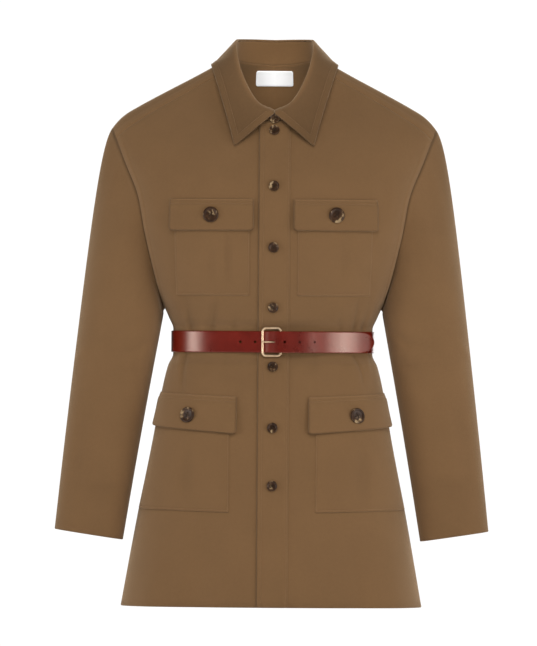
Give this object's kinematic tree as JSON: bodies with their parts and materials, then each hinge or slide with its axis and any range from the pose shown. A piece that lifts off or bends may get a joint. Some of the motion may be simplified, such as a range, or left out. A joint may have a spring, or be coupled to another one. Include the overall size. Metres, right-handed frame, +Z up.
{
  "type": "belted coat",
  "caption": "Thigh-length belted coat, hollow as worn, with shirt collar, front button band, flapped patch pockets, long sleeves and a buckled leather belt.",
  "frame": {"origin": "middle of the neck, level with the inner ends of the shoulders", "axes": "+X towards the wearer's left, -Y out of the front, +Z up"},
  "size_m": [0.6196, 0.2782, 0.8109],
  "materials": {
    "cloth": "matt twill",
    "button": "dark horn, polished",
    "leather": "glossy",
    "brass": "polished pale gold",
    "label": "woven, white"
  },
  "bodies": {
    "root": {"back": "cloth", "front_left": "cloth", "front_right": "cloth", "placket": "cloth", "collar_stand": "cloth", "collar_leaf": "cloth", "sleeve_left": "cloth", "sleeve_right": "cloth", "chest_pocket_left": "cloth", "chest_flap_left": "cloth", "chest_pocket_right": "cloth", "chest_flap_right": "cloth", "hip_pocket_left": "cloth", "hip_flap_left": "cloth", "hip_pocket_right": "cloth", "hip_flap_right": "cloth", "button_1": "button", "button_2": "button", "button_3": "button", "button_4": "button", "button_5": "button", "button_6": "button", "button_7": "button", "button_stand": "button", "button_chest_left": "button", "button_chest_right": "button", "button_hip_left": "button", "button_hip_right": "button", "belt": "leather", "buckle_frame": "brass", "buckle_prong": "brass", "neck_label": "label"}
  },
  "joints": []
}
